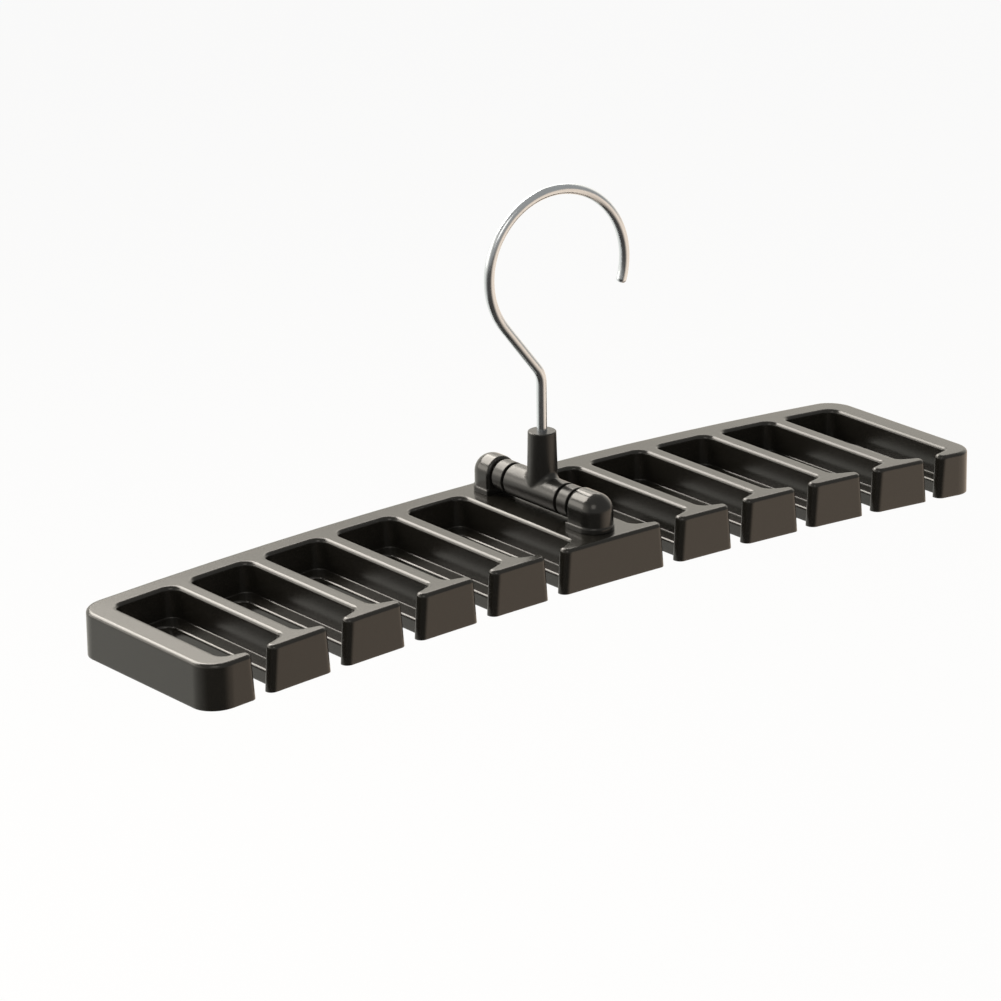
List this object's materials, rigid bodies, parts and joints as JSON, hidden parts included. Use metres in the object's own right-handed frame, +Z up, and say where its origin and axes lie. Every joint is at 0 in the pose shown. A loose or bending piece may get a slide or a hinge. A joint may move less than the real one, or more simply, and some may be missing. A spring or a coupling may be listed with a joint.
{
  "type": "tie hanger",
  "caption": "Arched comb rack with front-open slots for ties and belts, under a swivelling wire hook on a folding hinge bar.",
  "frame": {"origin": "middle of the rack's outline, on the level of its lowest point", "axes": "+X along the rack, -Y towards the open side of the slots, +Y towards the spine, +Z up towards the hook"},
  "size_m": [0.36, 0.0816, 0.145],
  "materials": {
    "rack_moulding": "satin gloss black moulding",
    "hinge_moulding": "satin black moulding",
    "washer_nylon": "dull black nylon",
    "pin_steel": "ground steel",
    "screw_steel": "zinc plated steel",
    "bright_wire": "polished nickel plate"
  },
  "bodies": {
    "rack": {"rack_frame": "rack_moulding", "rear_post": "hinge_moulding", "front_post": "hinge_moulding", "rear_bush": "hinge_moulding", "front_bush": "hinge_moulding", "hinge_pin": "pin_steel", "friction_washers": "washer_nylon", "post_screws": "screw_steel"},
    "tee": {"swivel_tee": "hinge_moulding", "hook_washer": "pin_steel"},
    "hook": {"hook_wire": "bright_wire"}
  },
  "joints": [
    {"name": "hook_fold", "type": "hinge", "parent": "rack", "child": "tee", "pos_m": [0, 0.00185, 0.0304], "axis": [0, 1, 0], "range_deg": [-65, 65]},
    {"name": "hook_swivel", "type": "hinge", "parent": "tee", "child": "hook", "pos_m": [0, 0.0008, 0.0533], "axis": [0, 0, 1], "continuous": true}
  ]
}
